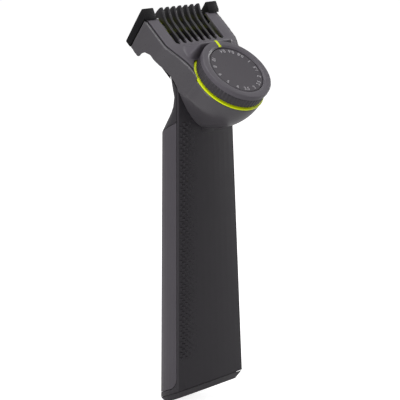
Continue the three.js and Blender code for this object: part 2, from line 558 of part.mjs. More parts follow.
function addDial() {
  place("accent_ring", "lime",
    tube(DIAL_RADIUS + RING_PROUD, CAM_RADIUS + 2 * GAP, RING_TOP - RING_THICKNESS, RING_TOP, 96), dialFrame);
  const knurl = [];
  for (let i = 0; i < 2 * KNURLS; i++) {
    const angle = (i / (2 * KNURLS)) * 2 * Math.PI;
    const radius = DIAL_RADIUS - GAP - (i % 2 ? 0.35 : 0);
    knurl.push([radius * Math.cos(angle), radius * Math.sin(angle)]);
  }
  const discBottom = -1.8;
  const wheel = cut(
    join(slab(knurl, WHEEL_BOTTOM, WHEEL_TOP), rod(WINDOW_RADIUS - GAP, WHEEL_TOP - 1, discBottom - GAP, 64)),
    rod(SPINDLE_RADIUS + GAP, -20, 0, 24), rod(3.4, WHEEL_TOP - 1.8, 0, 32));
  place("dial_wheel", "black", wheel, dialFrame);
  place("number_disc", "disc", rod(WINDOW_RADIUS - GAP, discBottom, DISC_TOP, 64), dialFrame);
  place("spiral_cam", "inner", spiralCam(), dialFrame);
  const spindle = join(rod(SPINDLE_RADIUS, SLIDER_BOTTOM - 2.6, WHEEL_TOP - 1, 24),
    rod(3, WHEEL_TOP - 1.5, WHEEL_TOP - 0.3, 32));
  place("dial_spindle", "steel", spindle, dialFrame);
  const nose = moved(rod(0.7, CAM_BOTTOM + 0.4, CAM_BOTTOM + 2.2, 12), 0, -CAM_RADIUS - 0.85, 0);
  const leaf = sector(tube(CAM_RADIUS + 1.3, CAM_RADIUS + 0.8, CAM_BOTTOM + 0.4, CAM_BOTTOM + 2.2), 22);
  place("detent_spring", "steel", join(leaf, nose), dialFrame);
}

// A disc under the wheel whose spiral groove moves the follower outwards at a steady rate.
function spiralCam() {
  const fullTurn = (SETTINGS - 1) * SETTING_PITCH;
  const rate = GUARD_TRAVEL / fullTurn;
  const half = FOLLOWER_RADIUS + GAP;
  const startRoom = half / CAM_START;
  const endRoom = half / (CAM_START + GUARD_TRAVEL);
  const steps = 44;
  const edge = (offset) => Array.from({ length: steps + 1 }, (_, i) => {
    const turn = mix(-startRoom, fullTurn + endRoom, i / steps);
    const radius = CAM_START + rate * THREE.MathUtils.clamp(turn, 0, fullTurn) + offset;
    return [radius * Math.sin(turn), radius * Math.cos(turn)];
  });
  const groove = slab([...edge(half), ...edge(-half).reverse()], CAM_BOTTOM - 1, GROOVE_TOP);
  const notches = Array.from({ length: SETTINGS }, (_, i) => {
    const angle = i * SETTING_PITCH;
    return moved(rod(0.9, CAM_BOTTOM - 1, 0, 8), (CAM_RADIUS + 0.6) * Math.sin(angle),
      -(CAM_RADIUS + 0.6) * Math.cos(angle), 0);
  });
  return cut(rod(CAM_RADIUS, CAM_BOTTOM, RING_TOP, 56), groove, rod(SPINDLE_RADIUS + GAP, -20, 0, 24), ...notches);
}

// The fixed bezel with the ramp that carries it from the comb's deck, and the index inlay.
function addBezel() {
  const ramp = sideSlab([[13, 0], [18.6, 0], [24.2, -5.9], [24.2, PLATE_TOP + GAP], [13, PLATE_TOP + GAP]], -12, 12);
  const post = box(-9, 9, 18, SLIDER_V[0] + 1.2, DECK_TOP + GAP, PLATE_TOP + 1);
  const wheelSpace = rod(DIAL_RADIUS + RING_PROUD + GAP, -30, -BEZEL_THICKNESS, 96);
  const solid = join(rod(DIAL_RADIUS, -BEZEL_THICKNESS, 0, 96), ramp, post);
  const groove = box(-0.6 - CLOSE, 0.6 + CLOSE, WINDOW_RADIUS - 1, 18.9, -0.5, 1);
  place("bezel", "plate", cut(solid, wheelSpace, rod(WINDOW_RADIUS, -30, 5, 96), groove), dialFrame);
  place("index_marker", "lime", box(-0.6, 0.6, WINDOW_RADIUS + 0.1, 18.6, -0.5 + CLOSE, 0), dialFrame);
}

function addGuard() {
  const plate = cut(slab(planOutline(0, 9, PLATE_END), PLATE_BOTTOM, PLATE_TOP),
    rod(DIAL_RADIUS + RING_PROUD + 2 * GAP, -30, 0, 96),
    box(-9 - GAP, 9 + GAP, 10, SLIDER_V[0] + 1.2 + GAP, -30, 0));
  const rails = cut(slab(planOutline(0, PLATE_END - 1, WALL_FRONT), PLATE_BOTTOM, PLATE_TOP),
    box(-RAIL_INSIDE, RAIL_INSIDE, PLATE_END, 60, -30, 0));
  const profile = [[PLATE_END - 2, PLATE_TOP], [34, -7.3], [41.5, -6.7], [45, -5.2], [47, -4.2], [47.8, -5.4],
    [48.3, -9], [47.8, -14], [46.9, -15.6], [46.5, -11.5], [45.2, -9.7], [29.5, -9.7],
    [27.5, PLATE_BOTTOM], [PLATE_END - 2, PLATE_BOTTOM]];
  const ribs = Array.from({ length: RIBS }, (_, i) => {
    const x = (i - (RIBS - 1) / 2) * RIB_PITCH;
    return sideSlab(profile, x - RIB_THICKNESS / 2, x + RIB_THICKNESS / 2);
  });
  place("comb_guard", "plate", join(plate, rails, ...ribs), dialFrame);
  const post = (side) => box(...ordered(side * (SLIDER_HALF - 2), side * SLIDER_HALF), ...SLIDER_V,
    SLIDER_BOTTOM, PLATE_BOTTOM - GAP);
  const slider = join(
    box(-3.6, 3.6, CAM_START - 1.3, SLIDER_V[1], SLIDER_BOTTOM, SLIDER_TOP),
    box(-SLIDER_HALF, SLIDER_HALF, ...SLIDER_V, SLIDER_BOTTOM, SLIDER_TOP),
    moved(rod(FOLLOWER_RADIUS, SLIDER_BOTTOM, GROOVE_TOP - GAP, 24), 0, CAM_START, 0),
    post(-1), post(1));
  place("guard_slider", "black", slider, dialFrame);
  addEndCaps();
}

// The dark blocks at both ends of the guard, which also close the front of the side walls.
function addEndCaps() {
  const back = WALL_FRONT + GAP;
  const outside = PLATE_WIDEST + GAP + COMB_WALL + 0.2;
  const low = PLATE_TOP + GAP;
  const block = [[back - 1.2, low], [back, -5.6], [47.3, -3.9], [47.9, -4.6], [47.2, -13], [back, -13], [back, low]];
  const strip = [[back, low], [47.8, -6], [46.2, HOOD_BOTTOM], [back - 1, HOOD_BOTTOM]];
  for (const [name, side] of [["end_cap_left", -1], ["end_cap_right", 1]]) {
    place(name, "black", join(
      sideSlab(block, ...ordered(side * (RAIL_INSIDE + 1.2), side * outside)),
      sideSlab(strip, ...ordered(side * (outside - 2), side * outside))), dialFrame);
  }
}

addHousing();
addPort();
addPower();
addChassis();
addDrive();
addBladeHead();
addCombBase();
addDial();
addBezel();
addGuard();

export default groomer;
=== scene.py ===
"""Looks for the body groomer: moulded housings, comb, length dial, inlays and studio."""

import logging
import math
from collections.abc import Callable, Sequence
from dataclasses import dataclass
from enum import Enum

import bmesh
import bpy
import numpy as np
from mathutils import Matrix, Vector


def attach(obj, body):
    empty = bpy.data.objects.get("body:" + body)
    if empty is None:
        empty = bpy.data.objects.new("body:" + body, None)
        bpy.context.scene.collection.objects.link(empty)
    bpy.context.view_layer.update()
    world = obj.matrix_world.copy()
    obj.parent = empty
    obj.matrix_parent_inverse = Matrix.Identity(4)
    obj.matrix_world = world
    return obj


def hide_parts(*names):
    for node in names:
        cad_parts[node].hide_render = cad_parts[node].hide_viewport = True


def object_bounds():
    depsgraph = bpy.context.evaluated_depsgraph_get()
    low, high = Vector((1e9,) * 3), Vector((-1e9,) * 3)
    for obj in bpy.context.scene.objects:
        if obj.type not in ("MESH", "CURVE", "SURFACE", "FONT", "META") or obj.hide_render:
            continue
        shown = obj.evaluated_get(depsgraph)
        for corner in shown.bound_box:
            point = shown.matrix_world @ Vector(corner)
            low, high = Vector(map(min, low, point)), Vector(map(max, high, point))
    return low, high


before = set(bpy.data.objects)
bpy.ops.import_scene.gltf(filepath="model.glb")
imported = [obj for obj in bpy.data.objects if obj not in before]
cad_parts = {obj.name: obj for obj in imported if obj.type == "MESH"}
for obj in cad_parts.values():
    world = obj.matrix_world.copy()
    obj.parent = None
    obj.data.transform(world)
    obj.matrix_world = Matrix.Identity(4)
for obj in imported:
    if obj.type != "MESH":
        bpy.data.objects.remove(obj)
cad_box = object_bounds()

LOG = logging.getLogger("groomer")
MM = 0.001
ROUGHNESS_SPREAD = 0.05  # how far the grain makes a finish rougher or smoother
WELD_M = 1e-6  # vertices nearer than this are one
Points = list[tuple[float, float]]


# ---- finishes ------------------------------------------------------------------------------
def linear(colour: str) -> tuple[float, float, float, float]:
    """Turn an sRGB hex colour into the linear colour that a shader takes.

    Args:
        colour: The colour as "#rrggbb".

    Returns:
        Red, green, blue and alpha.
    """
    parts = [int(colour[i : i + 2], 16) / 255 for i in (1, 3, 5)]
    bent = [c / 12.92 if c <= 0.04045 else ((c + 0.055) / 1.055) ** 2.4 for c in parts]
    return (*bent, 1.0)


def add(
    material: bpy.types.Material | bpy.types.World,
    kind: str,
    inputs: dict[str, object] | None = None,
    **settings: object,
) -> bpy.types.Node:
    """Add a node, with its settings, its values and its links.

    Args:
        material: The material, or the world, that holds the node.
        kind: Blender's name for the kind of node.
        inputs: A value, or a socket to link from, for each input, by its name or its place.
        **settings: Properties of the node itself.

    Returns:
        The new node.
    """
    node = material.node_tree.nodes.new(kind)
    for name, value in settings.items():
        setattr(node, name, value)
    for name, value in (inputs or {}).items():
        socket = node.inputs[int(name)] if name.isdigit() else node.inputs[name]
        if isinstance(value, bpy.types.NodeSocket):
            material.node_tree.links.new(value, socket)
        else:
            socket.default_value = value
    return node


class Texture(Enum):
    """How a surface was made."""

    SPARKED = "spark-eroded mould"
    POLISHED = "polished mould"
    BRUSHED = "ground and brushed"


@dataclass(frozen=True)
class Finish:
    """One finish: what it is made of and how it was worked."""

    name: str
    slot: str
    base: str
    drift: str
    roughness: float
    texture: Texture = Texture.SPARKED
    metallic: float = 0.0
    ior: float = 1.5
    grain_mm: float = 0.45
    grain_depth_mm: float = 0.02
    drift_mm: float = 24.0
    coat: float = 0.0
    specular: float = 0.3

    def build(self) -> bpy.types.Material:
        """Return this finish as a material, made the first time it is asked for."""
        known = bpy.data.materials.get(self.name)
        if known:
            return known
        material = bpy.data.materials.new(self.name)
        material.use_nodes = True
        material.node_tree.nodes.clear()
        place = add(material, "ShaderNodeTexCoord").outputs["Object"]
        stretch = (1.0, 12.0, 12.0) if self.texture is Texture.BRUSHED else (1.0, 1.0, 1.0)
        drawn = add(material, "ShaderNodeMapping", {"Vector": place, "Scale": stretch})
        # The slow drift is the flow of the melt in the mould, a few centimetres across.
        drift = add(
            material,
            "ShaderNodeTexNoise",
            {"Vector": place, "Scale": 1 / (self.drift_mm * MM), "Detail": 2.0},
        )
        # The grain is the spark-eroded or ground surface.
        grain = add(
            material,
            "ShaderNodeTexNoise",
            {"Vector": drawn.outputs["Vector"], "Scale": 1 / (self.grain_mm * MM), "Detail": 3.0},
        )
        # Mix has one set of sockets per kind of data, so the colour ones are filled by place.
        tint = add(
            material,
            "ShaderNodeMix",
            {"0": drift.outputs["Fac"], "6": linear(self.base), "7": linear(self.drift)},
            data_type="RGBA",
        )
        rough = add(
            material,
            "ShaderNodeMapRange",
            {
                "Value": grain.outputs["Fac"],
                "From Min": 0.3,
                "From Max": 0.7,
                "To Min": self.roughness - ROUGHNESS_SPREAD,
                "To Max": self.roughness + ROUGHNESS_SPREAD,
            },
        )
        bump = add(
            material,
            "ShaderNodeBump",
            {"Height": grain.outputs["Fac"], "Strength": 1.0, "Distance": self.grain_depth_mm * MM},
        )
        shader = add(
            material,
            "ShaderNodeBsdfPrincipled",
            {
                "Base Color": tint.outputs[2],
                "Metallic": self.metallic,
                "Roughness": rough.outputs["Result"],
                "IOR": self.ior,
                "Specular IOR Level": 0.5 if self.metallic else self.specular,
                "Coat Weight": self.coat,
                "Normal": bump.outputs["Normal"],
            },
        )
        add(material, "ShaderNodeOutputMaterial", {"Surface": shader.outputs["BSDF"]})
        return material


class Finishes:
    """The finishes of this groomer."""

    # Black-grey ABS from a spark-eroded mould: satin, with a fine even grain.
    BODY = Finish("moulded_ABS_charcoal", "shell", "#2e2b30", "#322f34", 0.42)
    # The inlay behind the seam is the same ABS, lighter and a little smoother.
    INLAY = Finish("moulded_ABS_graphite_inlay", "panel", "#4a464c", "#504c52", 0.42)
    # The comb's body is glossier, so the bowl catches a soft highlight.
    COMB = Finish("moulded_ABS_comb_body", "comb", "#484549", "#4d4a4f", 0.32, specular=0.6)
    # The guard's plate is a lighter grey, satin all over.
    PLATE = Finish("moulded_ABS_comb_plate", "plate", "#5c585f", "#625e65", 0.42)
    # The fins are darker than the plate that carries them: partly a darker moulding, partly painted shade for their
    # shaded sides and the slots between them.
    FINS = Finish("moulded_ABS_comb_fins_dark_and_painted_shade", "plate", "#28262a", "#2c2a2e", 0.4)
    # The bezel is a little darker than the plate and shows a soft sheen on its rim.
    BEZEL = Finish("moulded_ABS_bezel", "plate", "#57535a", "#5d5960", 0.4)
    # The wheel is dark, so that its fine ridges read as lines.
    WHEEL = Finish("moulded_ABS_wheel", "disc", "#39363b", "#3e3b40", 0.42)
    # The disc is matte, behind its light print.
    DISC = Finish("moulded_ABS_number_disc", "disc", "#433f45", "#48444a", 0.48)
    # Black nylon with little shine. It also colours the black strip under the bowl, which is painted shadow for the gap
    # there.
    BLACK = Finish("moulded_nylon_black_and_painted_gap_shadow", "black", "#111012", "#151416", 0.4, specular=0.12)
    # Pad-printed ink: thin, matte and light grey.
    INK = Finish("pad_print_light_grey", "disc", "#b4b1b6", "#bab7bc", 0.6, Texture.POLISHED)
    # Yellow-green pigmented ABS, strong and even in colour.
    NEON = Finish("moulded_ABS_neon_yellow", "lime", "#f0ff0b", "#e8fa05", 0.42, grain_depth_mm=0.008)
    # Ground steel, with fine lines along one way.
    STEEL = Finish(
        "ground_stainless_steel", "steel", "#b9babd", "#a9abae", 0.3, Texture.BRUSHED, 1.0, grain_depth_mm=0.006
    )
    # Turned brass, warm and bright.
    BRASS = Finish("turned_brass", "brass", "#c8a04a", "#b8903c", 0.32, Texture.BRUSHED, 1.0, grain_depth_mm=0.006)
    # Dull black rubber.
    RUBBER = Finish("moulded_rubber", "rubber", "#1c1c1e", "#232325", 0.8)
    # Smooth green solder mask.
    BOARD = Finish("glass_epoxy_board_green", "board", "#1d5a34", "#18502d", 0.45, Texture.POLISHED)
    # Blue shrink film with a thin clear shine.
    CELL = Finish("shrink_film_blue", "cell", "#2f6fa8", "#2a669c", 0.3, Texture.POLISHED, coat=0.3)
    # Unpainted light grey nylon inside.
    INNER = Finish("moulded_nylon_natural", "inner", "#8a8a88", "#929290", 0.6)
    # Smooth pale plastic over the lamp.
    CLEAR = Finish("polycarbonate_light_guide", "clear", "#d7dde0", "#cfd6da", 0.15, Texture.POLISHED)


# ---- mesh helpers --------------------------------------------------------------------------
@dataclass
class Shape:
    """Vertices in millimetres and the faces between them."""

    vertices: np.ndarray
    faces: list[tuple[int, ...]]

    def moved(self, matrix: Matrix) -> "Shape":
        """Return the shape turned and moved by a matrix in millimetres."""
        m = np.array(matrix)
        return Shape(self.vertices @ m[:3, :3].T + m[:3, 3], self.faces)

    def __add__(self, other: "Shape") -> "Shape":
        """Return both shapes as one."""
        start = len(self.vertices)
        faces = self.faces + [tuple(i + start for i in face) for face in other.faces]
        return Shape(np.vstack([self.vertices, other.vertices]), faces)


def joined(shapes: Sequence[Shape]) -> Shape:
    """Return several shapes as one."""
    total = shapes[0]
    for shape in shapes[1:]:
        total = total + shape
    return total


def grid(points: np.ndarray, wrap: bool = False, cap: bool = False) -> Shape:
    """Make a sheet of quads over a grid of points.

    Args:
        points: Rows by columns by 3, in millimetres.
        wrap: Whether each row closes on itself.
        cap: Whether the first and the last row are closed by a face.

    Returns:
        The sheet.
    """
    rows, columns = points.shape[:2]
    faces: list[tuple[int, ...]] = []
    for i in range(rows - 1):
        for j in range(columns if wrap else columns - 1):
            k = (j + 1) % columns
            faces.append((i * columns + j, i * columns + k, (i + 1) * columns + k, (i + 1) * columns + j))
    if cap:
        faces.append(tuple(reversed(range(columns))))
        faces.append(tuple(range((rows - 1) * columns, rows * columns)))
    return Shape(points.reshape(-1, 3), faces)


def turned(profile: Points, sides: int = 128, ripple: Callable[[float, float], float] | None = None) -> Shape:
    """Turn a closed profile of (radius, height) round the Z axis.

    Args:
        profile: The closed outline, in millimetres.
        sides: How many steps round.
        ripple: What to add to the radius at an angle and height.

    Returns:
        The turned shape.
    """
    angles = np.linspace(0, 2 * math.pi, sides, endpoint=False)
    rows = []
    for radius, height in [*profile, profile[0]]:
        r = [radius + (ripple(a, height) if ripple else 0) for a in angles]
        rows.append([(q * math.cos(a), q * math.sin(a), height) for q, a in zip(r, angles)])
    return grid(np.array(rows), wrap=True)


def smooth_line(points: Points, steps: int = 8) -> Points:
    """Run a Catmull-Rom curve through open points."""
    p = np.array([points[0], *points, points[-1]], float)
    out: Points = []
    for i in range(1, len(p) - 2):
        for t in np.linspace(0, 1, steps, endpoint=False):
            a, b, c, d = p[i - 1 : i + 3]
            q = 0.5 * (2 * b + (c - a) * t + (2 * a - 5 * b + 4 * c - d) * t**2 + (3 * b - a - 3 * c + d) * t**3)
            out.append((float(q[0]), float(q[1])))
    return [*out, points[-1]]


def slab(outline: Points, low: float, high: float, edge: float) -> Shape:
    """Push a closed outline from one height to another, with rounded edges.

    Args:
        outline: The closed outline, in millimetres.
        low: The lower face.
        high: The upper face.
        edge: The radius of the rounded edges.

    Returns:
        The slab, with its outline in X and Y.
    """
    curve = bpy.data.curves.new("outline", "CURVE")
    curve.dimensions = "2D"
    curve.fill_mode = "BOTH"
    spline = curve.splines.new("POLY")
    spline.points.add(len(outline) - 1)
    for point, (x, y) in zip(spline.points, outline):
        point.co = (x, y, 0, 1)
    spline.use_cyclic_u = True
    curve.extrude = (high - low) / 2 - edge
    curve.bevel_depth = edge
    curve.bevel_resolution = 2
    curve.offset = -edge
    holder = bpy.data.objects.new("outline", curve)
    mesh = holder.to_mesh()
    vertices = np.array([tuple(v.co) for v in mesh.vertices])
    faces = [tuple(f.vertices) for f in mesh.polygons]
    holder.to_mesh_clear()
    bpy.data.objects.remove(holder)
    bpy.data.curves.remove(curve)
    vertices[:, 2] += (low + high) / 2
    return Shape(vertices, faces)


def side_slab(outline: Points, left: float, right: float, edge: float) -> Shape:
    """Push an outline of (along, out) from left to right across X."""
    across = Matrix(((0, 0, 1, 0), (1, 0, 0, 0), (0, 1, 0, 0), (0, 0, 0, 1)))
    return slab(outline, left, right, edge).moved(across)


def new_object(name: str, shape: Shape, scale: float = MM) -> bpy.types.Object:
    """Put a shape into the scene as a mesh object."""
    mesh = bpy.data.meshes.new(name)
    mesh.from_pydata((shape.vertices * scale).tolist(), [], shape.faces)
    thing = bpy.data.objects.new(name, mesh)
    bpy.context.scene.collection.objects.link(thing)
    return thing


def settle(thing: bpy.types.Object) -> None:
    """Apply an object's modifiers to its mesh."""
    bpy.context.view_layer.update()
    ready = thing.evaluated_get(bpy.context.evaluated_depsgraph_get())
    thing.data = bpy.data.meshes.new_from_object(ready)
    thing.modifiers.clear()


def tidy(thing: bpy.types.Object, sharp: float = 35.0) -> None:
    """Weld a mesh, point its faces outwards and shade it smooth up to an angle in degrees."""
    work = bmesh.new()
    work.from_mesh(thing.data)
    bmesh.ops.remove_doubles(work, verts=work.verts, dist=WELD_M)
    bmesh.ops.recalc_face_normals(work, faces=work.faces)
    work.to_mesh(thing.data)
    work.free()
    thing.data.shade_smooth()
    thing.data.set_sharp_from_angle(angle=math.radians(sharp))


def carve(thing: bpy.types.Object, cutter: Shape, operation: str = "DIFFERENCE") -> None:
    """Cut a shape out of an object, or join it on."""
    tool = new_object("cutter", cutter)
    tidy(tool)
    step = thing.modifiers.new("carve", "BOOLEAN")
    step.object = tool
    step.operation = operation
    step.solver = "EXACT"
    settle(thing)
    bpy.data.objects.remove(tool)


def piece(
    name: str,
    shape: Shape | bpy.types.Object,
    finish: Finish,
    body: str,
    replaced: Sequence[str] = (),
    sharp: float = 35.0,
) -> bpy.types.Object:
    """Finish a piece: smooth it, dress it and let it ride.

    Args:
        name: The piece's name.
        shape: Its shape, or the object that is ready made.
        finish: Its finish.
        body: The body that it rides on.
        replaced: The CAD nodes that it stands for.
        sharp: The angle above which an edge stays sharp, in degrees.

    Returns:
        The piece.
    """
    thing = new_object(name, shape) if isinstance(shape, Shape) else shape
    thing.name = name
    tidy(thing, sharp)
    thing.data.materials.clear()
    thing.data.materials.append(finish.build())
    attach(thing, body)
    if replaced:
        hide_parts(*replaced)
    LOG.info("%s: %d faces on %s", name, len(thing.data.polygons), body)
    return thing


# ---- shared form ---------------------------------------------------------------------------
@dataclass(frozen=True)
class HandleForm:
    """The handle's outer form, whose sections lean with its slanted base."""

    length: float = 141.4
    slant: float = math.tan(math.radians(26.2))
    base_half: float = 22.9
    neck_half: float = 18.4
    base_front: float = -12.4
    neck_front: float = -9.2
    back: float = 12.6
    crown: float = 1.2
    squareness: float = 2.5
    neck_length: float = 24.6
    neck_depths: tuple[tuple[float, float], ...] = (
        (0, 21.8), (0.09, 19), (0.18, 16), (0.27, 12.8), (0.37, 10.4),
        (0.54, 8.8), (0.73, 10.4), (1, 12.3), (1.5, 12.3),
    )

    def half(self, height: float) -> float:
        """Return the half width at a height."""
        return self.base_half + (self.neck_half - self.base_half) * min(height / self.length, 1.05)

    def front(self, height: float) -> float:
        """Return where the front corners are at a height."""
        return self.base_front + (self.neck_front - self.base_front) * height / self.length

    def depth(self, height: float) -> float:
        """Return how deep the section is behind its front corners."""
        if height <= self.length:
            return self.back - self.front(height)
        line = np.array(smooth_line(list(self.neck_depths), 10))
        return float(np.interp((height - self.length) / self.neck_length, line[:, 0], line[:, 1]))

    def face_point(self, x: float, height: float, proud: float = 0.0) -> tuple[float, float, float]:
        """Return a point of the front face, raised off it by proud."""
        y = self.front(height) - self.crown * (1 - (x / self.half(height)) ** 2) - proud
        return x, y, height - self.slant * y

    def section(self, height: float, grow: float, steps: int = 96) -> list[tuple[float, float, float]]:
        """Return one closed section, made larger all round by grow."""
        half, front, depth = self.half(height) + grow, self.front(height) - grow, self.depth(height) + 2 * grow
        power = 2 / self.squareness
        points = []
        for a in np.linspace(0, math.pi, steps + 1):
            c = math.cos(a)
            points.append((half * math.copysign(abs(c) ** power, c), front + depth * max(math.sin(a), 0) ** power))
        for t in np.linspace(-1, 1, 26)[1:-1]:
            points.append((half * t, front - self.crown * (1 - t * t)))
        return [(x, y, height - self.slant * y) for x, y in points]

    def solid(self, low: float, high: float, grow: float) -> Shape:
        """Return the closed form between two heights."""
        rings = [self.section(height, grow) for height in np.linspace(low, high, 60)]
        return grid(np.array(rings), wrap=True, cap=True)


@dataclass(frozen=True)
class DialForm:
    """The dial's place and the sizes that the comb, the dial and the guard share."""

    y: float = -30.4
    z: float = 171.6
    tilt: float = math.radians(40)
    radius: float = 18.5
    window: float = 14.35
    bezel: float = 2.4
    gap: float = 0.3
    wheel: float = 5.1
    ring: float = 0.8
    proud: float = 0.4
    plate_top: float = -7.1
    plate: float = 1.3
    plate_end: float = 25.7
    front: float = 43.2
    wall: float = 1.5
    wall_top: float = -7.6
    hood: float = -24.7
    rail_inside: float = 16.35
    plan: tuple[tuple[float, float], ...] = (
        (3, 17), (8, 17), (12.9, 17.5), (17.5, 19.2), (21.3, 21), (25.2, 22.6), (29, 23), (48, 23),
    )

    @property
    def matrix(self) -> Matrix:
        """The dial's frame, in millimetres."""
        return Matrix.Translation((0, self.y, self.z)) @ Matrix.Rotation(self.tilt, 4, "X")

    @property
    def wheel_top(self) -> float:
        """The height of the wheel's upper face in the dial's frame."""
        return -self.bezel - self.gap

    @property
    def ring_top(self) -> float:
        """The height of the yellow ring's upper face."""
        return self.wheel_top - self.wheel - self.gap

    @property
    def cup_top(self) -> float:
        """The height of the bowl's rim."""
        return self.ring_top - self.ring - self.gap

    def half(self, v: float | np.ndarray) -> np.ndarray:
        """Return the guard plate's half width at a place along it."""
        line = np.array(smooth_line(list(self.plan), 8))
        return np.interp(v, line[:, 0], line[:, 1])

    def flat(self, y: float | np.ndarray, z: float | np.ndarray) -> tuple[np.ndarray, np.ndarray]:
        """Return a place (y, z) of the part as (v, w) of the dial's frame."""
        c, s = math.cos(self.tilt), math.sin(self.tilt)
        return (y - self.y) * c + (z - self.z) * s, -(y - self.y) * s + (z - self.z) * c


HANDLE = HandleForm()
DIAL = DialForm()


# ---- sub-assemblies ------------------------------------------------------------------------
@dataclass
class Housing:
    """The handle's shells, with softened edges, the grip scales, the latch tab and the button."""

    edge_mm: float = 0.35
    scale_pitch_mm: float = 2.8
    scale_low_mm: float = 20.0
    scale_high_mm: float = 140.0
    scale_inset_mm: float = 0.4
    scale_half_mm: float = 1.15
    scale_tall_mm: float = 2.1
    scale_proud_mm: float = 0.8
    root_mm: float = 0.05
    # How far in from the handle's edge each column of scales is, and its size.
    columns: tuple[tuple[float, float], ...] = (
        (1.0, 1.0), (2.7, 1.0), (4.6, 0.85), (6.6, 0.65), (8.8, 0.45), (11.0, 0.3),
    )
    button_height: float = 116.0
    button_face: float = 13.1
    button_radius: float = 5.2
    button_deep: float = 1.7

    def soften(self, node: str, finish: Finish, edge: float, angle: float = 40.0) -> None:
        """Round a CAD node's edges with modifiers and dress it."""
        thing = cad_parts[node]
        weld = thing.modifiers.new("weld", "WELD")
        weld.merge_threshold = WELD_M
        if edge:
            bevel = thing.modifiers.new("edge", "BEVEL")
            bevel.width = edge * MM
            bevel.segments = 2
            bevel.limit_method = "ANGLE"
            bevel.angle_limit = math.radians(angle)
            bevel.use_clamp_overlap = True
        dress(node, finish)

    def scales(self) -> None:
        """Raise the staggered triangular scales by the left edge, smaller towards the middle."""
        vertices: list[tuple[float, float, float]] = []
        faces: list[tuple[int, ...]] = []
        for column, (inward, size) in enumerate(self.columns):
            height = self.scale_low_mm + (self.scale_pitch_mm / 2 if column % 2 else 0)
            wide, tall = self.scale_half_mm * size, self.scale_tall_mm * size
            while height < self.scale_high_mm:
                x = -(HANDLE.half(height) - inward - self.scale_inset_mm)
                a = len(vertices)
                vertices += [
                    HANDLE.face_point(x - wide, height + tall / 2, -self.root_mm),
                    HANDLE.face_point(x + wide, height + tall / 2, -self.root_mm),
                    HANDLE.face_point(x, height - tall / 2, -self.root_mm),
                    HANDLE.face_point(x, height + tall / 4, self.scale_proud_mm * size),
                ]
                faces += [(a, a + 3, a + 1), (a + 1, a + 3, a + 2), (a + 2, a + 3, a)]
                height += self.scale_pitch_mm
        piece("grip_scales", Shape(np.array(vertices), faces), Finishes.BODY, "handle", sharp=10)

    def latch_tab(self) -> None:
        """Make the small tab on the handle's front, just under the bowl, and the black strip above it, which is painted
        shadow for the gap under the bowl.
        """
        outline = smooth_line([(-4.2, 0), (-4.0, -2.4), (-3.0, -3.4), (0, -3.6), (3.0, -3.4), (4.0, -2.4), (4.2, 0)], 6)
        tab = slab(outline, -0.4, 0.35, 0.15)
        x, y, z = HANDLE.face_point(0, 136.6)
        stand = Matrix.Translation((x, y, z)) @ Matrix.Rotation(math.radians(90), 4, "X")
        piece("comb_latch_tab", tab.moved(stand), Finishes.BODY, "handle")
        # The black strip is painted shadow: it stands for the shaded gap between the tab and the bowl.
        slot = slab([(-3.9, 0.3), (3.9, 0.3), (3.9, 1.2), (-3.9, 1.2)], -0.5, 0.12, 0.05)
        piece("comb_latch_gap_painted_shadow", slot.moved(stand), Finishes.BLACK, "handle")

    def button(self) -> None:
        """Make the round thumb button with a dished face."""
        r = self.button_radius
        profile = [
            (0.01, -self.button_deep), (r, -self.button_deep), (r, -0.45), (r - 0.2, -0.12),
            (r - 0.5, 0), (r - 1.0, -0.08), (r - 2.0, -0.35), (0.01, -0.55),
        ]
        place = Matrix.Translation((0, self.button_face, self.button_height))
        stand = place @ Matrix.Rotation(math.radians(-90), 4, "X")
        piece("power_button_cap", turned(profile, 64).moved(stand), Finishes.BLACK, "button", ["power_button"])

    def build(self) -> None:
        """Build and dress the housing."""
        self.soften("front_shell", Finishes.BODY, self.edge_mm)
        self.soften("back_shell", Finishes.INLAY, self.edge_mm)
        self.soften("neck_cover", Finishes.BODY, 0.25)
        self.soften("bottom_cap", Finishes.BODY, 0.2)
        self.scales()
        self.latch_tab()
        self.button()


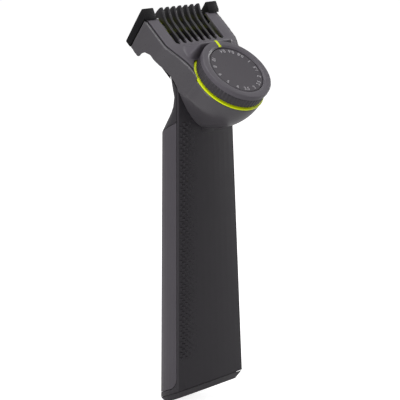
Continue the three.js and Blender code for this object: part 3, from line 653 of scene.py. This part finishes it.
@dataclass
class Comb:
    """The comb's body: the bowl under the dial and the two side walls."""

    foot_height: float = 140.5
    foot_rise: float = 19.5
    voxel_mm: float = 0.34
    foot_half: float = 18.2
    back_drop: float = 9.0
    front_pull: float = -42.0
    back_pull: float = -20.0
    foot_pull: float = 30.0
    belly: float = 2.1
    lean_start: float = 36.5
    lower_edge: tuple[tuple[float, float], ...] = (
        (3, -19), (8.5, -22.3), (16.5, -19), (20, -18.3), (24, -18), (30, -17.9), (33.5, -19.6), (35.1, -22.0),
        (35.5, -24.4), (36.1, -24.7), (44, -24.7),
    )

    def bowl_ring(self, t: float, inset: float, sides: int = 120) -> np.ndarray:
        """Return the bowl's ring at a share t of the way from its rim to its foot."""
        a = np.linspace(0, 2 * math.pi, sides, endpoint=False)
        across, rise = np.sin(a), np.cos(a)
        rim = DIAL.radius + 0.2
        start = np.stack([rim * across, -rim * rise, np.full(sides, DIAL.cup_top)], 1)
        low = np.abs(across) ** self.belly
        top = self.foot_height + self.foot_rise
        foot_z = np.where(rise > 0, self.foot_height + self.foot_rise * low, top - self.back_drop * rise)
        v, w = DIAL.flat(np.full(sides, HANDLE.neck_front + DIAL.wall), foot_z)
        foot = np.stack([self.foot_half * across, v, w], 1)
        leave = np.stack([0 * a, 0 * a, np.where(rise > 0, self.front_pull, self.back_pull)], 1)
        arrive = self.foot_pull * np.array([0, math.cos(DIAL.tilt), -math.sin(DIAL.tilt)])
        ring = (
            (2 * t**3 - 3 * t**2 + 1) * start
            + (t**3 - 2 * t**2 + t) * leave
            + (-2 * t**3 + 3 * t**2) * foot
            + (t**3 - t**2) * arrive
        )
        if inset:
            out = ring - ring.mean(0)
            length = np.linalg.norm(out, axis=1, keepdims=True)
            ring = ring - out / length * inset
        return ring

    def bowl(self) -> Shape:
        """Return the bowl as one closed wall, open towards the handle."""
        outer = [self.bowl_ring(t, 0) for t in np.linspace(0, 1, 41)]
        inner = [self.bowl_ring(t, DIAL.wall) for t in np.linspace(1, 0.42, 24)]
        return grid(np.array([*outer, *inner]), wrap=True, cap=True)

    def side_wall(self, side: int) -> Shape:
        """Return one side wall, which follows the guard's plan."""
        v = np.unique(np.concatenate([np.linspace(3, DIAL.front, 70), [35.1, 35.5, 36.1]]))
        edge = np.array(self.lower_edge)
        low = np.interp(v, edge[:, 0], edge[:, 1])
        inside = DIAL.half(v) + DIAL.gap
        lean = np.clip((v - self.lean_start) / (DIAL.front - self.lean_start), 0, 1)
        rows = []
        for offset, share in [(0, 0), (0, 1), (1, 1), (1, 0.75), (1, 0.5), (1, 0.25), (1, 0), (0, 0)]:
            w = low + (DIAL.wall_top - low) * share
            x = side * (inside + DIAL.wall * offset)
            rows.append(np.stack([x, v - lean * (1 - share), w], 1))
        ring = np.array(rows[:-1]).transpose(1, 0, 2)
        return grid(ring, wrap=True, cap=True)

    def deck(self) -> Shape:
        """Return the deck under the guard's plate."""
        top = DIAL.plate_top - DIAL.plate - DIAL.gap
        v = np.linspace(8, 20.4, 24)
        right = [(float(h), float(q)) for h, q in zip(DIAL.half(v) + 1, v)]
        outline = right + [(-x, q) for x, q in reversed(right)]
        tongue = [(-13.6, 19), (13.6, 19), (13.6, 25.8), (-13.6, 25.8)]
        return slab(outline, top - 1.4, top, 0.1) + slab(tongue, top - 1.39, top - 0.01, 0.1)

    def build(self) -> None:
        """Weld the bowl, walls and deck into one moulding with soft inside corners."""
        whole = joined([self.bowl(), self.side_wall(-1), self.side_wall(1), self.deck()])
        body = new_object("comb_body", whole.moved(DIAL.matrix))
        tidy(body)
        remesh = body.modifiers.new("weld", "REMESH")
        remesh.mode = "VOXEL"
        remesh.voxel_size = self.voxel_mm * MM
        ease = body.modifiers.new("ease", "SMOOTH")
        ease.factor = 0.5
        ease.iterations = 6
        settle(body)
        reach = DIAL.radius + DIAL.proud + DIAL.gap
        space = turned([(0.01, DIAL.cup_top), (reach, DIAL.cup_top), (reach, 6), (0.01, 6)], 160)
        carve(body, space.moved(DIAL.matrix))
        carve(body, HANDLE.solid(90, 178, 0.35))
        piece("comb_body", body, Finishes.COMB, "comb", ["comb_base"])


@dataclass
class Bezel:
    """The ring round the number disc, the ramp that carries it and the index inlay."""

    ramp_half: float = 16.0
    ramp_end: float = 24.6

    def build(self) -> None:
        """Build the bezel and its inlay."""
        r, win = DIAL.radius, DIAL.window
        profile = [
            (win, -2.35), (win, -0.75), (win + 0.12, -0.42), (win + 0.35, -0.3),
            (win + 0.6, -0.34), (win + 0.85, -0.2), (win + 1.05, -0.05), (win + 1.3, 0),
            (r - 0.6, 0), (r - 0.3, -0.05), (r - 0.08, -0.22), (r, -0.5), (r, -2.35),
        ]
        ring = turned(profile, 192)
        n = 44
        x, v = np.meshgrid(np.linspace(-self.ramp_half, self.ramp_half, n), np.linspace(14.6, self.ramp_end, n))
        rise = np.clip((self.ramp_end - v) / (self.ramp_end - 18.0), 0, 1)
        rise = rise * rise * (3 - 2 * rise)
        edge = np.clip((np.minimum(self.ramp_half, DIAL.half(v) - 0.8) - np.abs(x)) / 6.0, 0, 1)
        edge = edge * edge * (3 - 2 * edge)
        start = np.clip((v - 15.0) / 3.2, 0, 1)
        edge = edge * start * start * (3 - 2 * start)
        foot = DIAL.plate_top - 0.12
        w = foot + (-0.02 - foot) * rise * edge
        inside = np.hypot(x, v) < win + 1.4
        w = np.where(inside, np.minimum(w, -2.3), w)
        under = np.where(np.hypot(x, v) < r + 0.8, np.minimum(w - 0.05, -2.3), foot - 0.05)
        under = np.minimum(under, w - 0.02)
        top = np.stack([x, v, w], 2)
        bottom = np.stack([x, v, under], 2)
        sheet = grid(top) + grid(bottom)
        for line in (0, -1):
            sheet = sheet + grid(np.array([top[line], bottom[line]]))
            sheet = sheet + grid(np.array([top[:, line], bottom[:, line]]))
        piece("dial_bezel", (ring + sheet).moved(DIAL.matrix), Finishes.BEZEL, "comb", ["bezel"])
        path = [(win + 0.3, -0.02), (win + 1.2, 0.03), (17.8, 0.03), (19.0, -0.12)]
        rows = []
        for q, height in path:
            rows.append([(-0.75, q, height - 0.3), (-0.75, q, height), (0.75, q, height), (0.75, q, height - 0.3)])
        inlay = grid(np.array(rows), wrap=True, cap=True)
        piece("dial_index_inlay", inlay.moved(DIAL.matrix), Finishes.NEON, "comb", ["index_marker"])


@dataclass
class LengthDial:
    """The knurled wheel, the number disc with its numerals and the yellow ring below."""

    knurls: int = 60
    knurl_mm: float = 0.22
    disc_top: float = -0.6
    numeral_mm: float = 2.0
    numeral_radius: float = 12.3
    text_per_cap: float = 1.35
    ring_inside: float = 16.2
    numerals: tuple[str, ...] = ("0.4", "0.6", "0.8", "1", "1.5", "2", "2.5", "3", "3.5", "4", "5", "6", "8", "10")

    def wheel(self) -> None:
        """Build the wheel with its rounded ridges."""
        top, bottom, r = DIAL.wheel_top, DIAL.wheel_top - DIAL.wheel, DIAL.radius - DIAL.gap
        edge = [(0.0, 0.55), (0.12, 0.25), (0.35, 0.06), (0.7, 0.0)]
        outside = [(r - d, top - h) for h, d in edge] + [(r - d, bottom + h) for h, d in reversed(edge)]

        profile = [(13.2, -1.95), (13.9, -1.95), (13.95, top), *outside, (13.2, bottom)]

        def ridges(angle: float, height: float) -> float:
            """Return how far the ridges stand back at an angle, and nothing on the hub."""
            return -self.knurl_mm * abs(math.sin(self.knurls * angle / 2)) ** 3 if height <= top else 0.0

        shape = turned(profile, self.knurls * 12, ridges)
        piece("dial_wheel_rim", shape.moved(DIAL.matrix), Finishes.WHEEL, "dial", ["dial_wheel"])

    def disc(self) -> None:
        """Build the slightly dished number disc."""
        r, top = DIAL.window - DIAL.gap, self.disc_top
        profile = [
            (0.01, top - 0.6), (r, top - 0.6), (r, top - 0.22), (r - 0.08, top - 0.06),
            (r - 0.25, top), (r - 0.6, top - 0.03), (0.01, top - 0.1),
        ]
        piece("dial_number_disc", turned(profile, 160).moved(DIAL.matrix), Finishes.DISC, "dial", ["number_disc"])

    def printed(self) -> None:
        """Print the numerals round the disc, read from its rim, clockwise from the index."""
        total: Shape | None = None
        for i, word in enumerate(self.numerals):
            text = bpy.data.curves.new("numeral", "FONT")
            text.body = word
            text.size = self.numeral_mm * self.text_per_cap
            text.align_x, text.align_y = "CENTER", "CENTER"
            text.extrude = 0.03
            text.offset = 0.03
            holder = bpy.data.objects.new("numeral", text)
            bpy.context.scene.collection.objects.link(holder)
            bpy.context.view_layer.update()
            mesh = holder.evaluated_get(bpy.context.evaluated_depsgraph_get()).to_mesh()
            shape = Shape(np.array([tuple(q.co) for q in mesh.vertices]), [tuple(f.vertices) for f in mesh.polygons])
            bpy.data.objects.remove(holder)
            bpy.data.curves.remove(text)
            angle = -2 * math.pi * i / (len(self.numerals) + 1)
            spot = Matrix.Rotation(angle, 4, "Z") @ Matrix.Translation((0, self.numeral_radius, self.disc_top - 0.02))
            upright = spot @ Matrix.Rotation(math.pi, 4, "Z")
            total = shape.moved(upright) if total is None else total + shape.moved(upright)
        piece("dial_numerals", total.moved(DIAL.matrix), Finishes.INK, "dial")

    def ring(self) -> None:
        """Build the yellow ring at the foot of the wheel."""
        r, top, bottom = DIAL.radius + DIAL.proud, DIAL.ring_top, DIAL.ring_top - DIAL.ring
        profile = [
            (self.ring_inside, top), (r - 0.2, top), (r - 0.05, top - 0.1), (r, top - 0.3),
            (r, bottom + 0.3), (r - 0.05, bottom + 0.1), (r - 0.2, bottom), (self.ring_inside, bottom),
        ]
        piece("accent_band", turned(profile, 192).moved(DIAL.matrix), Finishes.NEON, "comb", ["accent_ring"])

    def build(self) -> None:
        """Build the dial."""
        self.wheel()
        self.disc()
        self.printed()
        self.ring()


@dataclass
class Guard:
    """The sliding guard: its plate with rails, the seven fins and the dark end blocks."""

    fins: int = 7
    pitch: float = 4.14
    thickness: float = 1.3
    fin_profile: tuple[tuple[float, float], ...] = (
        (24.4, -7.15), (30, -7.25), (36, -7.3), (41, -6.85), (44.4, -5.5), (46.6, -4.25),
        (47.4, -4.35), (47.9, -5.6), (48.25, -8.5), (48.1, -11.8), (47.6, -14.4), (47.0, -15.5),
        (46.75, -14), (46.5, -11.6), (45.4, -9.8), (40, -9.65), (30, -9.6),
        (27.5, -8.4), (24.4, -8.35),
    )

    def plate_outline(self) -> Points:
        """Return the plate's outline in plan, with its rounded slots."""
        reach = DIAL.radius + DIAL.proud + 2 * DIAL.gap
        v = np.linspace(9.2, DIAL.front, 40)
        right: Points = [(9.3, 22.5), (9.3, 17.3)]
        end = math.asin(9.2 / reach)
        for a in np.linspace(math.acos(9.5 / reach), end, 16)[1:]:
            right.append((reach * math.cos(a), reach * math.sin(a)))
        right += [(float(h) - 0.15, float(q)) for h, q in zip(DIAL.half(v), v) if math.hypot(h, q) > reach + 0.2]
        slots: Points = []
        edges = [(i - (self.fins - 1) / 2) * self.pitch for i in range(self.fins)]
        gaps = [(-DIAL.rail_inside, edges[0] - self.thickness / 2)]
        gaps += [(a + self.thickness / 2, b - self.thickness / 2) for a, b in zip(edges, edges[1:])]
        gaps += [(edges[-1] + self.thickness / 2, DIAL.rail_inside)]
        for k, (a, b) in enumerate(reversed(gaps)):
            mouth_right = DIAL.front if k == 0 else 28.5
            mouth_left = DIAL.front if k == len(gaps) - 1 else 28.5
            middle, half = (a + b) / 2, (b - a) / 2
            slots.append((b, mouth_right))
            for turn in np.linspace(0, math.pi, 9):
                slots.append((middle + half * math.cos(turn), DIAL.plate_end + half - half * math.sin(turn)))
            slots.append((a, mouth_left))
        return right + slots + [(-x, q) for x, q in reversed(right)]

    def caps(self) -> None:
        """Build the dark blocks at both ends."""
        back, low = DIAL.front + DIAL.gap, DIAL.plate_top + DIAL.gap
        outside = 23 + DIAL.gap + DIAL.wall + 0.2
        block = [
            (back - 1.15, low), (back - 0.2, -5.7), (back + 1, -5.18), (47.0, -4.13), (47.5, -4.1),
            (47.85, -4.6), (47.2, -13), (back, -13), (back, low),
        ]
        strip = [
            (back, low), (47.75, -6), (47.5, -10), (46.3, DIAL.hood + 0.6), (45.9, DIAL.hood), (back - 1, DIAL.hood),
        ]
        for name, side in (("left", -1), ("right", 1)):
            a, b = sorted((side * 18.0, side * (outside - 0.06)))
            c, d = sorted((side * (outside - 2), side * outside))
            shape = side_slab(block, a, b, 0.22) + side_slab(strip, c, d, 0.22)
            piece(f"guard_end_block_{name}", shape.moved(DIAL.matrix), Finishes.BLACK, "guard", [f"end_cap_{name}"])

    def build(self) -> None:
        """Build the guard."""
        plate = slab(self.plate_outline(), DIAL.plate_top - DIAL.plate, DIAL.plate_top, 0.18)
        piece("guard_plate", plate.moved(DIAL.matrix), Finishes.PLATE, "guard", ["comb_guard"])
        outline = smooth_line(list(self.fin_profile), 5)
        fins = []
        for i in range(self.fins):
            x = (i - (self.fins - 1) / 2) * self.pitch
            fins.append(side_slab(outline, x - self.thickness / 2 + 0.02, x + self.thickness / 2 - 0.02, 0.22))
        piece("guard_fins", joined(fins).moved(DIAL.matrix), Finishes.FINS, "guard")
        self.caps()


# ---- carried-over nodes --------------------------------------------------------------------
def dress(node: str, finish: Finish) -> None:
    """Give a CAD node its finish."""
    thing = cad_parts[node]
    thing.data.materials.clear()
    thing.data.materials.append(finish.build())


INNER_FINISHES: dict[str, Finish] = {
    "charge_port": Finishes.BLACK, "port_tongue": Finishes.BRASS, "battery_cell": Finishes.CELL,
    "battery_tab_lower": Finishes.STEEL, "battery_tab_upper": Finishes.STEEL, "main_board": Finishes.BOARD,
    "tact_switch": Finishes.BLACK, "status_light": Finishes.CLEAR, "chassis": Finishes.INNER,
    "base_screw_left": Finishes.STEEL, "base_screw_right": Finishes.STEEL, "motor": Finishes.STEEL,
    "motor_gasket": Finishes.RUBBER, "crank": Finishes.INNER, "drive_arm": Finishes.INNER,
    "head_housing": Finishes.BLACK, "blade_base": Finishes.NEON, "cutter_spring": Finishes.STEEL,
    "moving_cutter": Finishes.STEEL, "fixed_guard": Finishes.STEEL, "guard_frame": Finishes.NEON,
    "spiral_cam": Finishes.INNER, "dial_spindle": Finishes.STEEL, "detent_spring": Finishes.STEEL,
    "guard_slider": Finishes.BLACK,
}


# ---- studio --------------------------------------------------------------------------------
@dataclass
class Studio:
    """The camera, the floor, the world and the lamps."""

    location: tuple[float, float, float] = (-0.5101, -0.5213, 0.2802)
    backward: tuple[float, float, float] = (-0.6827, -0.6912, 0.2372)
    roll: float = math.radians(-0.22)
    lens: float = 135.0
    floor_lift: float = 0.85
    surround: float = 0.15
    # Each lamp's name, place and size in metres, and its power in watts.
    lamps: tuple[tuple[str, tuple[float, float, float], tuple[float, float], float], ...] = (
        ("key_softbox", (-1.2, -0.2, 0.3), (0.6, 0.9), 9.0),
        ("right_strip", (1.0, -0.1, 0.1), (0.2, 0.9), 7.0),
        ("top_softbox", (0.0, -0.15, 1.2), (0.7, 0.7), 5.5),
    )

    def camera(self) -> None:
        """Set up the camera."""
        data = bpy.data.cameras.new("camera")
        data.lens, data.sensor_width, data.sensor_fit = self.lens, 36.0, "HORIZONTAL"
        data.clip_start = 0.05
        thing = bpy.data.objects.new("camera", data)
        b = np.array(self.backward) / np.linalg.norm(self.backward)
        r = np.cross((0, 0, 1), b)
        r /= np.linalg.norm(r)
        u = np.cross(b, r)
        turn = Matrix(np.stack([r, u, b], 1).tolist()).to_4x4()
        thing.matrix_world = Matrix.Translation(self.location) @ turn @ Matrix.Rotation(self.roll, 4, "Z")
        bpy.context.scene.collection.objects.link(thing)
        bpy.context.scene.camera = thing

    def lamp(self, name: str, place: tuple[float, float, float], size: tuple[float, float], power: float) -> None:
        """Add a soft box that faces the middle of the groomer."""
        data = bpy.data.lights.new(name, "AREA")
        data.shape, data.size, data.size_y, data.energy = "RECTANGLE", *size, power
        thing = bpy.data.objects.new(name, data)
        aim = Matrix.Translation((0, 0, 0.11)).translation
        spot = Matrix.Translation(place).translation
        thing.rotation_euler = (aim - spot).to_track_quat("-Z", "Y").to_euler()
        thing.location = place
        bpy.context.scene.collection.objects.link(thing)

    def floor(self) -> None:
        """Lay the pale floor, which keeps the groomer's shadow."""
        low = cad_box[0][2] - 0.0002
        mesh = bpy.data.meshes.new("floor")
        mesh.from_pydata([(-4, -4, low), (4, -4, low), (4, 4, low), (-4, 4, low)], [], [(0, 1, 2, 3)])
        thing = bpy.data.objects.new("floor", mesh)
        bpy.context.scene.collection.objects.link(thing)
        material = bpy.data.materials.new("painted_floor_white")
        material.use_nodes = True
        material.node_tree.nodes.clear()
        seen = add(material, "ShaderNodeLightPath").outputs["Is Camera Ray"]
        paint = add(material, "ShaderNodeBsdfDiffuse", {"Color": linear("#f2f2f2")})
        lift = add(material, "ShaderNodeEmission", {"Color": (*[self.floor_lift] * 3, 1), "Strength": seen})
        both = add(material, "ShaderNodeAddShader", {"0": paint.outputs["BSDF"], "1": lift.outputs["Emission"]})
        add(material, "ShaderNodeOutputMaterial", {"Surface": both.outputs["Shader"]})
        mesh.materials.append(material)

    def world(self) -> None:
        """Make the white surround, which lights softly and shows white."""
        world = bpy.data.worlds.new("studio")
        world.use_nodes = True
        bpy.context.scene.world = world
        world.node_tree.nodes.clear()
        path = add(world, "ShaderNodeLightPath")
        seen = path.outputs["Is Camera Ray"]
        for kind in ("Is Glossy Ray", "Is Transmission Ray"):
            inputs = {"0": seen, "1": path.outputs[kind]}
            seen = add(world, "ShaderNodeMath", inputs, operation="MAXIMUM").outputs["Value"]
        soft = add(world, "ShaderNodeBackground", {"Color": (1, 1, 1, 1), "Strength": self.surround})
        white = add(world, "ShaderNodeBackground", {"Color": (1, 1, 1, 1), "Strength": 1.0})
        sides = {"0": seen, "1": soft.outputs["Background"], "2": white.outputs["Background"]}
        mix = add(world, "ShaderNodeMixShader", sides)
        add(world, "ShaderNodeOutputWorld", {"Surface": mix.outputs["Shader"]})

    def build(self) -> None:
        """Set up the studio."""
        self.camera()
        bpy.context.scene.view_settings.view_transform = "Standard"
        self.floor()
        self.world()
        for lamp in self.lamps:
            self.lamp(*lamp)


def main() -> None:
    """Build everything in order."""
    logging.basicConfig(level=logging.INFO, format="%(name)s: %(message)s")
    Studio().build()
    for part in (Housing(), Comb(), Bezel(), LengthDial(), Guard()):
        part.build()
    for node, finish in INNER_FINISHES.items():
        dress(node, finish)


if __name__ == "__main__":
    main()
